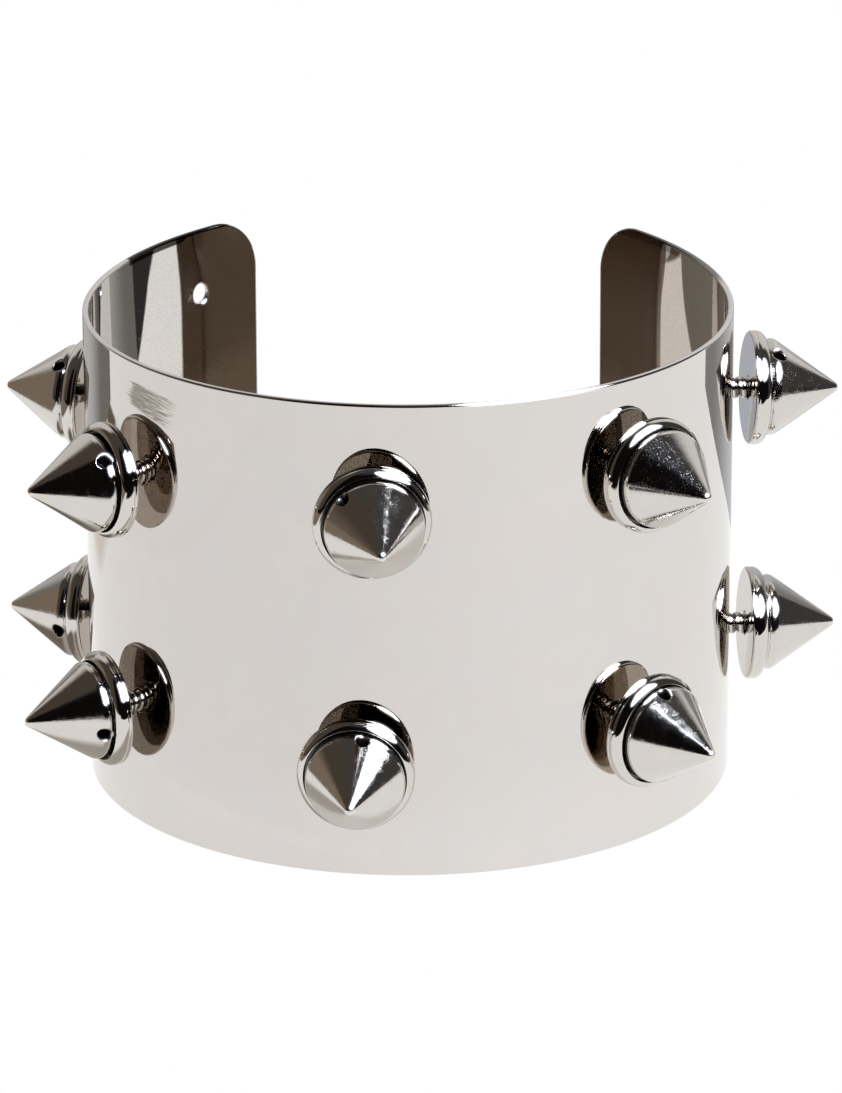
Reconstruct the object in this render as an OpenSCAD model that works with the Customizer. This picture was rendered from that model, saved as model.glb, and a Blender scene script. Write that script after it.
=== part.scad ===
/* [Cuff] */
// Outer radius of the round front of the cuff, a half circle
body_r = 32; // [31:0.5:34]
// Outer radius of the two flatter wings
wing_r = 38.5; // [37:0.5:42]
// Length along the outside from the centre line to the left free end
left_reach = 81.7; // [80:0.1:84]
// Length along the outside from the centre line to the right free end
right_reach = 86.6; // [84:0.1:88]
// Height of the sheet
cuff_h = 47.6; // [46:0.2:54]
// Thickness of the sheet
sheet_t = 0.6; // [0.5:0.05:0.7]
// Radius of the four corners at the free ends
corner_r = 5.2; // [2:0.1:6]

/* [Small hole in the left wing] */
// Radius of the small hole
tab_hole_r = 1; // [0.8:0.1:1.2]
// Distance of its centre from the left free end, along the sheet
tab_hole_inset = 7.6; // [6:0.1:9]
// Distance of its centre below the top edge
tab_hole_drop = 6.8; // [5:0.1:9]

/* [Stud cup] */
// Largest radius of the dished cup under each spike
cup_r = 5.66; // [5.6:0.02:5.8]
// Height of the cup, from its flat underside to its lip
cup_h = 1.6; // [1.5:0.02:1.7]
// Radius of the rounding of the cup's rim
rim_r = 1.2; // [1.1:0.05:1.3]
// Height of the widest place of the rim above the underside
rim_mid_h = 0.55; // [0.4:0.05:0.6]
// Radius of the dished inside of the cup
dish_r = 4.95; // [4.93:0.01:4.97]
// Thickness of the cup's floor
dish_floor = 0.85; // [0.6:0.05:1]

/* [Spike] */
// Radius of the round foot of the spike
spike_r = 4.79; // [4.65:0.02:4.79]
// Height of the spike's point above the cup's underside
spike_top = 9.15; // [8.85:0.1:9.65]
// Angle between the spike's side and its axis
spike_half_angle = 34.5; // [34:0.5:36]
// Radius of the rounded point
point_r = 0.45; // [0.3:0.05:0.6]
// Radius of the rounding between the foot and the cone
shoulder_r = 0.9; // [0.6:0.05:1]
// Radius of the cross hole that a pin turns the spike by
pin_hole_r = 0.45; // [0.35:0.05:0.5]
// Depth of the cross hole, from the side of the cone
pin_hole_depth = 1.6; // [1.2:0.1:2]
// Height of the cross hole above the cup's underside
pin_hole_h = 2.6; // [2.5:0.1:3.2]
// How far each spike sits off the middle of its cup
spike_shift = 0.1; // [0:0.02:0.1]

/* [Screw] */
// Radius of the screw's shank
shank_r = 1.1; // [1:0.05:1.2]
// Length of shank that shows between the cuff and the cup
stand_off = 1.7; // [1.4:0.05:2]
// Height of the shank's end above the cup's underside
shank_top = 4.6; // [4:0.1:4.8]
// Radius of the plain flat head inside the cuff
head_r = 3; // [2.6:0.1:3.2]
// Thickness of the head
head_t = 0.8; // [0.6:0.1:1]
// Space between the screw and what it passes through
play = 0.12; // [0.1:0.01:0.15]

/* [Hidden] */
$fn = 96;

// Studs, one row each. The columns are the name, the place along the outside of the
// sheet from the centre line and the height of the screw, how far the stud leans to the
// right and up in degrees, the turn of the spike's cross hole about its axis (0 points
// right, 90 up) and the direction in which the spike sits off the middle of its cup.
STUDS = [
    ["far_left_upper",    -57.0, 34.5,  1.5,  1.5,  52, 200],
    ["far_left_lower",    -56.7, 11.6,  2.0, -1.5, 350, 270],
    ["front_left_upper",  -28.0, 35.5, -1.5,  2.5,  44, 240],
    ["front_left_lower",  -29.1, 11.7, -4.0, -1.0, 348,  90],
    ["centre_upper",        0.6, 36.9, 12.5, -3.5, 132, 320],
    ["centre_lower",       -0.7, 11.4,  4.5, -2.5,  80, 320],
    ["front_right_upper",  28.4, 38.3, -7.5, -0.5, 315,  60],
    ["front_right_lower",  28.4, 12.3, -2.0, -2.0,  98,  60],
    ["far_right_upper",    57.5, 37.8,  3.0, -2.5, 120,  90],
    ["far_right_lower",    56.8, 13.1,  4.0, -2.0, 300,  90]
];
NAME = 0;
ALONG = 1;
HEIGHT = 2;
LEAN_RIGHT = 3;
LEAN_UP = 4;
HOLE_TURN = 5;
SHIFT_TURN = 6;

// Length of the round front along the outside, from the centre line to a wing
body_reach = body_r * PI / 2;
// How far the centre of a wing's arc lies across from the centre of the round front
wing_across = wing_r - body_r;
// Depth of the screw head's face below the outside, where its rim just clears the inside
head_depth = sheet_t + head_r * head_r / (2 * (body_r - sheet_t)) + play / 2;
// Largest lean of a stud, which sets the width of the holes in the sheet
most_lean = max([for (s = STUDS) max(abs(s[LEAN_RIGHT]), abs(s[LEAN_UP]))]);
// Radius of the screw holes in the sheet
screw_hole_r = shank_r + play + sheet_t * tan(most_lean);
// Radius of the bores in cup and spike, round the shank
cup_bore_r = shank_r + play;
spike_bore_r = shank_r + play + spike_shift;
// Height of the sharp point that the cone's sides aim at
apex_h = spike_top - point_r + point_r / sin(spike_half_angle);
// Height of the spike's foot above the cup's underside
foot_h = dish_floor + play / 2;

// Direction that the sheet faces at a place along its outside, in degrees from the front
function facing(along) =
    let (past = abs(along) - body_reach)
    sign(along) * (past <= 0
        ? abs(along) / body_r * 180 / PI
        : 90 + past / wing_r * 180 / PI);

// Centre of the arc that a place along the outside lies on
function arc_centre(along) =
    abs(along) <= body_reach ? [0, 0] : [-sign(along) * wing_across, 0];

function arc_radius(along) = abs(along) <= body_reach ? body_r : wing_r;

// Radius of the cone at a height above the cup's underside
function cone_radius(h) = (apex_h - h) * tan(spike_half_angle);

// Puts its children on the outside of the sheet: X right, Y up, Z straight out
module on_sheet(along, height) {
    a = facing(along);
    c = arc_centre(along);
    r = arc_radius(along);
    translate([c.x + r * sin(a), c.y - r * cos(a), height])
        rotate([90, 0, a])
            children();
}

// Puts its children on a stud's own leaning axis, with Z = 0 at the cup's underside
module on_stud(s) {
    on_sheet(s[ALONG], s[HEIGHT])
        rotate([-s[LEAN_UP], s[LEAN_RIGHT], 0])
            translate([0, 0, stand_off])
                children();
}

// A stretch of the bent sheet from one facing to another, both in degrees from the front
module bent_sheet(r, from, to) {
    rotate_extrude(start = from - 90, angle = to - from)
        translate([r - sheet_t, 0])
            square([sheet_t, cuff_h]);
}

// One wing, from the end of the round front to its free end, side 1 on the right and -1
// on the left
module wing(reach, side) {
    on_side(side)
        translate([-wing_across, 0, 0])
            bent_sheet(wing_r, 90, facing(reach));
}

// What a rounded corner takes away. The corner is at the origin and the sheet lies at
// negative X and negative Y.
module corner_cut() {
    difference() {
        translate([-corner_r, -corner_r, -3])
            cube([corner_r + 2, corner_r + 2, 6]);
        translate([-corner_r, -corner_r, -4])
            cylinder(r = corner_r, h = 8);
    }
}

// The two rounded corners of one free end, side 1 on the right and -1 on the left
module end_corners(along, side) {
    on_sheet(along, cuff_h)
        on_side(side)
            corner_cut();
    on_sheet(along, 0)
        on_side(side)
            mirror([0, 1, 0])
                corner_cut();
}

// Mirrors its children to the left side
module on_side(side) {
    if (side > 0) {
        children();
    } else {
        mirror([1, 0, 0]) children();
    }
}

module cuff() {
    color("gainsboro")
        difference() {
            union() {
                bent_sheet(body_r, -90, 90);
                wing(right_reach, 1);
                wing(left_reach, -1);
            }
            end_corners(-left_reach, -1);
            end_corners(right_reach, 1);
            on_sheet(tab_hole_inset - left_reach, cuff_h - tab_hole_drop)
                translate([0, 0, -3])
                    cylinder(r = tab_hole_r, h = 6);
            for (s = STUDS)
                on_sheet(s[ALONG], s[HEIGHT])
                    translate([0, 0, -3])
                        cylinder(r = screw_hole_r, h = 6);
        }
}

// The head lies flat inside the cuff and the shank leans with its stud
module screw(s) {
    color("silver") {
        on_sheet(s[ALONG], s[HEIGHT])
            translate([0, 0, -head_depth - head_t])
                cylinder(r = head_r, h = head_t);
        on_stud(s)
            translate([0, 0, -stand_off - head_depth - head_t / 2])
                cylinder(r = shank_r, h = stand_off + head_depth + head_t / 2 + shank_top);
    }
}

module cup(s) {
    color("silver")
        on_stud(s)
            rotate_extrude()
                difference() {
                    intersection() {
                        union() {
                            square([cup_r - rim_r, cup_h]);
                            translate([cup_r - rim_r, rim_mid_h])
                                circle(r = rim_r);
                        }
                        square([cup_r + 1, cup_h]);
                    }
                    translate([0, dish_floor])
                        square([dish_r, cup_h]);
                    translate([0, -1])
                        square([cup_bore_r, cup_h + 2]);
                }
}

// Half of the spike's outline: foot, rounded shoulder, straight cone and rounded point
module spike_outline() {
    a = spike_half_angle;
    shoulder_x = spike_r - shoulder_r;
    shoulder_y = apex_h - (shoulder_x + shoulder_r * cos(a)) / tan(a) - shoulder_r * sin(a);
    point_y = spike_top - point_r;
    polygon([
        [0, foot_h],
        [spike_r, foot_h],
        [spike_r, shoulder_y],
        [shoulder_x, shoulder_y],
        [shoulder_x + shoulder_r * cos(a), shoulder_y + shoulder_r * sin(a)],
        [point_r * cos(a), point_y + point_r * sin(a)],
        [0, point_y]
    ]);
    translate([shoulder_x, shoulder_y])
        circle(r = shoulder_r);
    intersection() {
        translate([0, point_y])
            circle(r = point_r);
        square([spike_r, spike_top + 1]);
    }
}

module spike(s) {
    shift = spike_shift * [cos(s[SHIFT_TURN]), sin(s[SHIFT_TURN]), 0];
    color("silver")
        on_stud(s)
            translate(shift)
                difference() {
                    rotate_extrude()
                        spike_outline();
                    cylinder(r = spike_bore_r, h = shank_top + play);
                    rotate([0, 0, s[HOLE_TURN]])
                        translate([cone_radius(pin_hole_h) - pin_hole_depth, 0, pin_hole_h])
                            rotate([0, 90, 0])
                                cylinder(r = pin_hole_r, h = pin_hole_depth + 2);
                }
}

cuff();
for (s = STUDS) screw(s);
for (s = STUDS) cup(s);
for (s = STUDS) spike(s);
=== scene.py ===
import bpy
from math import asin, cos, hypot, pi, radians, sin, sqrt, tan

from mathutils import Matrix, Vector
from mathutils.geometry import delaunay_2d_cdt


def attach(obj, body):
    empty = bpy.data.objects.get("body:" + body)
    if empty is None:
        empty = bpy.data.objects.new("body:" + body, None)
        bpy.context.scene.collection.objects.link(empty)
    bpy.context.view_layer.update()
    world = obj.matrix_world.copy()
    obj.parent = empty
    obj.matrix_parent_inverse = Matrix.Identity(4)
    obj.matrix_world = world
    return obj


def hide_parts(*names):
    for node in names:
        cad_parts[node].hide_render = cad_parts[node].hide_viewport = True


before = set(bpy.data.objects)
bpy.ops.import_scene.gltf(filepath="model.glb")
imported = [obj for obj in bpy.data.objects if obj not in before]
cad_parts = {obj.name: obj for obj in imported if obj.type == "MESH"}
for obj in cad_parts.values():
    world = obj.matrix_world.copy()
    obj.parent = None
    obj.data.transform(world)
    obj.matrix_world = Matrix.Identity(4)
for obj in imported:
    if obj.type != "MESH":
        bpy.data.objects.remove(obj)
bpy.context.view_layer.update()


# Cuff
# One strip of steel sheet, cut with round corners, drilled for ten screws, bent round a
# former into a half circle with two flatter wings, mirror polished and nickel plated.
# The small hole near the left end hung it on its hook in the plating bath.
scene = bpy.context.scene
MM = 0.001
FRONT_R = 32.0
WING_R = 38.5
LEFT_REACH = 81.7
RIGHT_REACH = 86.6
CUFF_H = 47.6
SHEET_T = 0.6
CORNER_R = 5.2
TAB_HOLE_R = 1.0
TAB_HOLE_ALONG = 7.6 - LEFT_REACH
TAB_HOLE_HEIGHT = CUFF_H - 6.8
SCREW_HOLE_R = 1.353
CUFF_EDGE_R = 0.26
FRONT_REACH = FRONT_R * pi / 2

# The studs, one row each: name, place of the screw along the outside of the sheet from the
# centre line, height, lean to the right and lean up in degrees, turn of the spike's cross
# hole (0 points right, 90 up) and the way in which the spike sits off the cup's middle.
STUDS = [
    ("far_left_upper", -57.0, 34.5, 1.5, 1.5, 52, 200),
    ("far_left_lower", -56.7, 11.6, 2.0, -1.5, 350, 270),
    ("front_left_upper", -28.0, 35.5, -1.5, 2.5, 44, 240),
    ("front_left_lower", -29.1, 11.7, -4.0, -1.0, 348, 90),
    ("centre_upper", 0.6, 36.9, 12.5, -3.5, 132, 320),
    ("centre_lower", -0.7, 11.4, 4.5, -2.5, 80, 320),
    ("front_right_upper", 28.4, 38.3, -7.5, -0.5, 315, 60),
    ("front_right_lower", 28.4, 12.3, -2.0, -2.0, 98, 60),
    ("far_right_upper", 57.5, 37.8, 3.0, -2.5, 120, 90),
    ("far_right_lower", 56.8, 13.1, 4.0, -2.0, 300, 90),
]


def bent(along, height, depth=0.0):
    """Where a point of the flat sheet lies once it is bent, with the ways across and out."""
    side = 1 if along > 0 else -1
    past = abs(along) - FRONT_REACH
    facing = side * (abs(along) / FRONT_R if past <= 0 else pi / 2 + past / WING_R)
    radius = (FRONT_R if past <= 0 else WING_R) - depth
    centre = Vector((0 if past <= 0 else side * (FRONT_R - WING_R), 0, height))
    across = Vector((cos(facing), sin(facing), 0))
    out = Vector((sin(facing), -cos(facing), 0))
    return centre + radius * out, across, out


def smooth_piece(name, points, normals, faces, own=None, place=Matrix()):
    """A piece from points in millimetres in the frame of its place, shaded by the given
    normals. The piece's own coordinates go with it, for its materials."""
    mesh = bpy.data.meshes.new(name)
    mesh.from_pydata([place @ p * MM for p in points], [], faces)
    mesh.shade_smooth()
    turn = place.to_3x3()
    mesh.normals_split_custom_set_from_vertices([(turn @ n).normalized() for n in normals])
    spots = mesh.attributes.new("own_place", "FLOAT_VECTOR", "POINT")
    spots.data.foreach_set("vector", [c for p in own or points for c in p])
    piece = bpy.data.objects.new(name, mesh)
    scene.collection.objects.link(piece)
    return piece


def next_ring(points, count):
    """The indices that the next so many points will have."""
    return list(range(len(points), len(points) + count))


def ring_strip(rings):
    """Quads between closed rings of equally many point indices."""
    faces = []
    for low, high in zip(rings, rings[1:]):
        for k in range(len(low)):
            j = (k + 1) % len(low)
            faces.append((low[j], low[k], high[k], high[j]))
    return faces


def flat_hole(along, height, radius, steps):
    """A round hole's edge in the flat sheet: places and the way off the metal."""
    edge = []
    for k in range(steps):
        a = -2 * pi * k / steps
        place = (along + radius * cos(a), height + radius * sin(a))
        edge.append((place, (-cos(a), -sin(a))))
    return edge


def flat_outline(spacing, corner_steps):
    """The strip's outline with its round corners, once round."""
    edge = []
    corners = [
        (RIGHT_REACH - CORNER_R, CORNER_R, -90),
        (RIGHT_REACH - CORNER_R, CUFF_H - CORNER_R, 0),
        (CORNER_R - LEFT_REACH, CUFF_H - CORNER_R, 90),
        (CORNER_R - LEFT_REACH, CORNER_R, 180),
    ]
    for k, (x, y, start) in enumerate(corners):
        for step in range(corner_steps + 1):
            a = radians(start + 90 * step / corner_steps)
            edge.append(((x + CORNER_R * cos(a), y + CORNER_R * sin(a)), (cos(a), sin(a))))
        (ax, ay), way = edge[-1]
        bx, by, turn = corners[(k + 1) % 4]
        bx, by = bx + CORNER_R * cos(radians(turn)), by + CORNER_R * sin(radians(turn))
        count = max(2, round(hypot(bx - ax, by - ay) / spacing))
        for step in range(1, count):
            s = step / count
            edge.append(((ax + (bx - ax) * s, ay + (by - ay) * s), way))
    return edge


GRID = 1.25
CORNER_STEPS = 14
HOLE_STEPS = 56
CLEAR_OF_CORNER = 0.5
CLEAR_OF_HOLE = 0.7
length = LEFT_REACH + RIGHT_REACH
mid_along = (RIGHT_REACH - LEFT_REACH) / 2
holes = [(TAB_HOLE_ALONG, TAB_HOLE_HEIGHT, TAB_HOLE_R)]
holes += [(stud[1], stud[2], SCREW_HOLE_R) for stud in STUDS]
rims = [flat_outline(GRID, CORNER_STEPS)] + [flat_hole(*hole, HOLE_STEPS) for hole in holes]

flat, flat_edges = [], []
for rim in rims:
    first = len(flat)
    for (x, y), (nx, ny) in rim:
        flat.append((x - nx * CUFF_EDGE_R, y - ny * CUFF_EDGE_R))
    flat_edges += [(first + k, first + (k + 1) % len(rim)) for k in range(len(rim))]
columns = round(length / GRID)
rows = round(CUFF_H / GRID)
for i in range(1, columns):
    for j in range(1, rows):
        x = -LEFT_REACH + length * i / columns
        y = CUFF_H * j / rows
        past_x = max(0, abs(x - mid_along) - length / 2 + CORNER_R)
        past_y = max(0, abs(y - CUFF_H / 2) - CUFF_H / 2 + CORNER_R)
        in_outline = hypot(past_x, past_y) < CORNER_R - CLEAR_OF_CORNER
        if in_outline and all(hypot(x - a, y - h) > r + CLEAR_OF_HOLE for a, h, r in holes):
            flat.append((x, y))
flat = [Vector(p) for p in flat]
found, _, triangles, _, _, _ = delaunay_2d_cdt(flat, flat_edges, [], 1, 1e-7)
outside_holes = []
for tri in triangles:
    middle = sum((found[k] for k in tri), Vector((0, 0))) / 3
    if all(hypot(middle.x - a, middle.y - h) > (r + CUFF_EDGE_R) * 0.998 for a, h, r in holes):
        outside_holes.append(tri)


def share(value, start, end):
    """How far a value is on the way from start to end, from 0 to 1."""
    return max(0, min(1, (value - start) / (end - start)))


# Where the wings were bent a little more than their arc, most near the top edge, with the
# turns of the surface in degrees. The right wing is straighter again in a narrow strip and
# has a slight ripple inside.
BENT_FROM, BENT_FULL, BENT_UNTIL, BENT_END = 66, 77, 80, 92
CURL_FROM, CURL_FULL = 39, 47
RIGHT_TURN, RIGHT_CURL = 6.0, 2.0
LEFT_TURN, LEFT_CURL = -3.3, -3.0
STRAIGHT_FROM, STRAIGHT_FULL, STRAIGHT_END = 74.2, 76.6, 77.2
STRAIGHT_TURN, STRAIGHT_LESS = -2.7, 0.45
RIPPLE_AT, RIPPLE_WIDTH, RIPPLE_TURN = 61.2, 1.6, -2.0


def sprung(along, height, inside=False):
    """The turn of the surface at a place. It shows only in what the sheet mirrors."""
    curl = share(height, CURL_FROM, CURL_FULL)
    most = LEFT_TURN + LEFT_CURL * curl ** 2
    if along > 0:
        straight = share(along, STRAIGHT_FROM, STRAIGHT_FULL) * (1 - STRAIGHT_LESS * curl)
        straight *= along < STRAIGHT_END
        most = RIGHT_TURN + RIGHT_CURL * curl ** 2 * (1 - straight) + STRAIGHT_TURN * straight
    rise, fall = share(abs(along), BENT_FROM, BENT_FULL), share(abs(along), BENT_END, BENT_UNTIL)
    turn = most * rise ** 2 * (3 - 2 * rise) * fall ** 2 * (3 - 2 * fall)
    if inside:
        turn += RIPPLE_TURN * max(0, 1 - abs(along - RIPPLE_AT) / RIPPLE_WIDTH)
    return Matrix.Rotation(radians(turn), 3, "Z")


cuff_points, cuff_normals, cuff_faces, cuff_own = [], [], [], []
for depth, side in ((0.0, 1), (SHEET_T, -1)):
    first = len(cuff_points)
    for p in found:
        place, _, out = bent(p.x, p.y, depth)
        cuff_points.append(place)
        cuff_own.append((p.x, p.y, -depth))
        cuff_normals.append(sprung(p.x, p.y, side < 0) @ out * side)
    for tri in outside_holes:
        cuff_faces.append(tuple(first + k for k in (tri if side > 0 else reversed(tri))))
first_of_rim = 0
for rim in rims:
    outer = list(range(first_of_rim, first_of_rim + len(rim)))
    rings = [outer]
    for turn in range(15, 180, 15):
        a = radians(turn)
        inset = CUFF_EDGE_R * (1 - sin(a))
        depth = CUFF_EDGE_R * (1 - cos(a))
        if turn > 90:
            depth = SHEET_T - CUFF_EDGE_R * (1 + cos(a))
        rings.append(next_ring(cuff_points, len(rim)))
        for (x, y), (nx, ny) in rim:
            place, across, out = bent(x - nx * inset, y - ny * inset, depth)
            cuff_points.append(place)
            cuff_own.append((x - nx * inset, y - ny * inset, -depth))
            sideways = across * nx + Vector((0, 0, ny))
            cuff_normals.append(sprung(x, y) @ (sideways * sin(a) + out * cos(a)))
    rings.append([k + len(found) for k in outer])
    cuff_faces += ring_strip(rings)
    first_of_rim += len(rim)
cuff = smooth_piece("cuff_sheet", cuff_points, cuff_normals, cuff_faces, cuff_own)
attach(cuff, "root")
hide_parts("cuff")


def node(tree, kind, name, **settings):
    """A node with its settings, placed in the editor in rows of twelve."""
    row, column = divmod(len(tree.nodes), 12)
    made = tree.nodes.new(kind)
    made.name = made.label = name
    made.location = (200 * column, -300 * row)
    for key, value in settings.items():
        setattr(made, key, value)
    return made


def feed(socket, value):
    """Gives an input a number, a colour or what another socket puts out."""
    if isinstance(value, tuple):
        socket.default_value = (*value, 1.0)
    elif isinstance(value, (int, float)):
        socket.default_value = value
    else:
        socket.id_data.links.new(value, socket)


def tree_of(*values):
    """The node tree of the first socket among some values."""
    return next(value.id_data for value in values if hasattr(value, "id_data"))


def sums(operation, a, b=None, clamp=False):
    """A math node. Each of a and b is a number or a socket."""
    made = node(tree_of(a, b), "ShaderNodeMath", operation.lower(), operation=operation)
    made.use_clamp = clamp
    feed(made.inputs[0], a)
    if b is not None:
        feed(made.inputs[1], b)
    return made.outputs[0]


def times(first, *others):
    """The product of numbers and sockets."""
    for other in others:
        first = sums("MULTIPLY", first, other)
    return first


def add_up(start, *layers):
    """A number or socket with more added, each a mask and its amount."""
    for mask, amount in layers:
        start = sums("ADD", start, times(mask, amount))
    return start


def slanted(x, a, y, b):
    """The sum of two values by their weights, which steps across a slanting line."""
    return sums("ADD", times(x, a), times(y, b))


def distance(x, y):
    """The length of a way that goes x across and y up."""
    return sums("SQRT", sums("ADD", times(x, x), times(y, y)))


def ramp(value, low, high, to_low=0.0, to_high=1.0):
    """A smooth step of a value from low to high."""
    made = node(tree_of(value), "ShaderNodeMapRange", "ramp", interpolation_type="SMOOTHSTEP")
    for socket, given_value in zip(made.inputs, (value, low, high, to_low, to_high)):
        feed(socket, given_value)
    return made.outputs["Result"]


def between(value, low, full, falling, high):
    """One from full to falling, with smooth steps from low and to high."""
    return times(ramp(value, low, full), ramp(value, falling, high, 1.0, 0.0))


def blend(factor, a, b, kind="MIX"):
    """A colour mix. Each of a and b is a colour or a socket."""
    tree = tree_of(factor, a, b)
    made = node(tree, "ShaderNodeMix", "blend", data_type="RGBA", blend_type=kind)
    for name, value in (("Factor", factor), ("A", a), ("B", b)):
        feed([s for s in made.inputs if s.name == name and s.enabled][0], value)
    return [s for s in made.outputs if s.enabled][0]


def shader_group(name, inputs, outputs):
    """A shader node group. Inputs are names with a value, or None for a vector, outputs are
    names with the kind of their socket."""
    group = bpy.data.node_groups.new(name, "ShaderNodeTree")
    for label, value in inputs:
        kind = "NodeSocketVector" if value is None else "NodeSocketFloat"
        socket = group.interface.new_socket(label, in_out="INPUT", socket_type=kind)
        if value is not None:
            socket.default_value = value
    for label, kind in outputs:
        group.interface.new_socket(label, in_out="OUTPUT", socket_type=kind)
    given = node(group, "NodeGroupInput", "given")
    result = node(group, "NodeGroupOutput", "result")
    return group, given.outputs, result.inputs


def use_group(group, **values):
    """A group node in a material, with values or sockets for its inputs."""
    tree = tree_of(*values.values())
    made = node(tree, "ShaderNodeGroup", group.name, node_tree=group)
    for key, value in values.items():
        feed(made.inputs[key], value)
    return made.outputs


def noise(place, scale, detail, stretch=None):
    """A noise texture over a place in millimetres, with so many cells to the millimetre."""
    tree = tree_of(place)
    if stretch:
        wide = node(tree, "ShaderNodeVectorMath", "stretched", operation="MULTIPLY")
        feed(wide.inputs[0], place)
        wide.inputs[1].default_value = stretch
        place = wide.outputs[0]
    made = node(tree, "ShaderNodeTexNoise", "noise")
    for name, value in (("Vector", place), ("Scale", scale), ("Detail", detail)):
        feed(made.inputs[name], value)
    return made.outputs[0]


def parts_of(place):
    """The three numbers of a place."""
    parts = node(tree_of(place), "ShaderNodeSeparateXYZ", "parts")
    feed(parts.inputs[0], place)
    return parts.outputs


# Hairlines: thin, straight rub marks in three directions, broken up into short lengths,
# over the even wear between them
EVEN_WEAR = 0.5
hairlines, given, result = shader_group(
    "hairlines",
    [("Place", None), ("Fineness", 1.0), ("Share", 0.4)],
    [("Lines", "NodeSocketFloat")],
)
least = sums("SUBTRACT", 0.75, times(given["Share"], 0.5))
lines = EVEN_WEAR
for k, turn in enumerate((0.35, 1.45, 2.5)):
    spun = node(hairlines, "ShaderNodeVectorRotate", "turned", rotation_type="AXIS_ANGLE")
    feed(spun.inputs["Vector"], given["Place"])
    spun.inputs["Axis"].default_value = (0.3, 0.5, 0.81)
    spun.inputs["Angle"].default_value = turn
    field = noise(spun.outputs[0], given["Fineness"], 0, (0.3, 4.0, 4.0))
    off_line = sums("ABSOLUTE", sums("SUBTRACT", field, 0.5))
    line = ramp(off_line, 0.0, 0.03, 1.0, 0.0)
    short = noise(spun.outputs[0], 0.9, 1, (0.6, 1.3, 1.3))
    shown = sums("MULTIPLY", sums("SUBTRACT", short, least), 12.0, clamp=True)
    lines = sums("MAXIMUM", lines, times(line, shown))
feed(result["Lines"], lines)

# Plating: faint pink, green and blue clouds and slow changes of the polish
CLOUDS = [
    (0.055, (1.02, 0.985, 0.99)),
    (0.08, (0.975, 1.0, 0.985)),
    (0.11, (0.975, 0.985, 1.01)),
    (0.3, (0.985, 0.98, 0.97)),
]
plating, given, result = shader_group(
    "plating",
    [("Place", None), ("Size", 1.0), ("Amount", 1.0)],
    [("Tint", "NodeSocketColor"), ("Haze", "NodeSocketFloat")],
)
spread = node(plating, "ShaderNodeVectorMath", "spread", operation="SCALE")
feed(spread.inputs[0], given["Place"])
feed(spread.inputs["Scale"], sums("DIVIDE", 1.0, given["Size"]))
tint = (1.0, 1.0, 1.0)
for k, (scale, shade) in enumerate(CLOUDS):
    shift = node(plating, "ShaderNodeVectorMath", "elsewhere", operation="ADD")
    feed(shift.inputs[0], spread.outputs[0])
    shift.inputs[1].default_value = (31.0 * k + 5, 17.0 * k, 9.0)
    cloud = ramp(noise(shift.outputs[0], scale, 2), 0.42, 0.62)
    tint = blend(times(cloud, given["Amount"]), tint, shade)
feed(result["Tint"], tint)
feed(result["Haze"], noise(spread.outputs[0], 0.25, 4))

# Grain: the very fine unevenness that is left after polishing, as a height from 0 to 1
grain, given, result = shader_group(
    "grain", [("Place", None), ("Fineness", 4.0)], [("Height", "NodeSocketFloat")]
)
feed(result["Height"], noise(given["Place"], given["Fineness"], 2))


def metal(name, colour, cloud_size, line_fineness, line_share, grain_fineness):
    """A new metal: its material, the piece's own place and the parts of it, the clouded
    colour, the plating's haze, the hairlines and the grain."""
    made = bpy.data.materials.new(name)
    made.use_nodes = True
    tree = made.node_tree
    shader = tree.nodes["Principled BSDF"]
    shader.location, tree.nodes["Material Output"].location = (-700, 0), (-350, 0)
    feed(shader.inputs["Base Color"], colour)
    feed(shader.inputs["Metallic"], 1.0)
    own = node(tree, "ShaderNodeAttribute", "own place", attribute_name="own_place")
    own = own.outputs["Vector"]
    cloudy = use_group(plating, Place=own, Size=cloud_size)
    fine = use_group(hairlines, Place=own, Fineness=line_fineness, Share=line_share)
    even = use_group(grain, Place=own, Fineness=grain_fineness)
    shade = blend(1.0, colour, cloudy["Tint"], "MULTIPLY")
    return made, own, parts_of(own), shade, cloudy["Haze"], fine["Lines"], even["Height"]


def put_on(pieces, material, colour, roughness, *reliefs):
    """Links a metal's colour, roughness and reliefs to its shader and gives it to pieces.
    Each relief is a height socket and its depth in millimetres."""
    tree = material.node_tree
    shader = tree.nodes["Principled BSDF"]
    feed(shader.inputs["Base Color"], colour)
    feed(shader.inputs["Roughness"], roughness)
    for k, (height, depth) in enumerate(reliefs):
        bump = node(tree, "ShaderNodeBump", "relief")
        for name, value in (("Strength", 1.0), ("Distance", depth * MM), ("Height", height)):
            feed(bump.inputs[name], value)
        if k:
            feed(bump.inputs["Normal"], normal)
        normal = bump.outputs["Normal"]
    feed(shader.inputs["Normal"], normal)
    for piece in pieces:
        piece.data.materials.append(material)


# The sheet's metal: clear mirror polish, softly clouded plating, worn and rounded edges, a
# rubbed patch near the top left of the front and a few rub marks beside the small hole
STEEL = (0.672, 0.640, 0.610)
sheet_metal, own, (along, height, depth), shade, haze, lines, grains = metal(
    "polished_sheet", STEEL, 1.0, 1.2, 0.12, 5.0
)
inner = sums("LESS_THAN", depth, -0.3)
outer = sums("SUBTRACT", 1.0, inner)
in_rim = between(depth, -0.58, -0.50, -0.10, -0.02)

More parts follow.
